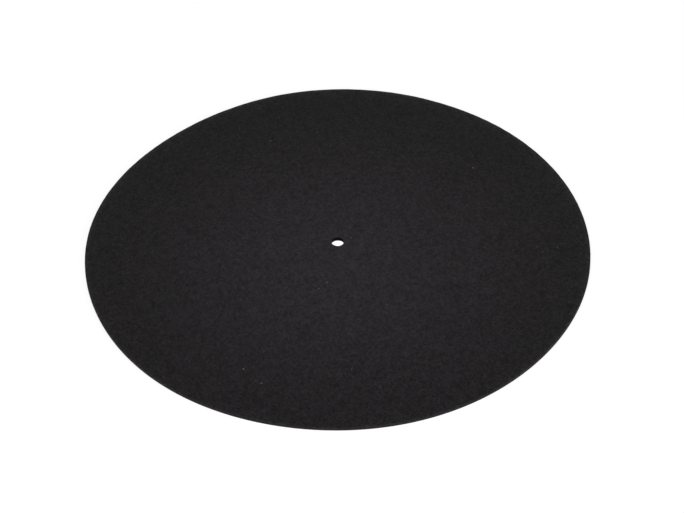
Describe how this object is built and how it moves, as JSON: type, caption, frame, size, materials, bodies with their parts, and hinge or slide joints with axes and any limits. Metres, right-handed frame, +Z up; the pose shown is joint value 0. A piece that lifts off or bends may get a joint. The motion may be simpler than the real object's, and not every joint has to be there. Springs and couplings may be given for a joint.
{
  "type": "turntable platter mat",
  "caption": "Round flat black felt mat with a small central spindle hole; it lies on a turntable platter and carries the record.",
  "frame": {"origin": "middle of the spindle hole, in the plane of the underside that rests on the platter", "axes": "+Z up along the spindle, out of the face that carries the record; +X to the right and +Y away from the viewer in the picture, though the disc is alike all round"},
  "size_m": [0.295, 0.295, 0.0018],
  "materials": {
    "black_felt": "matte"
  },
  "bodies": {
    "root": {"platter_mat": "black_felt"}
  },
  "joints": []
}
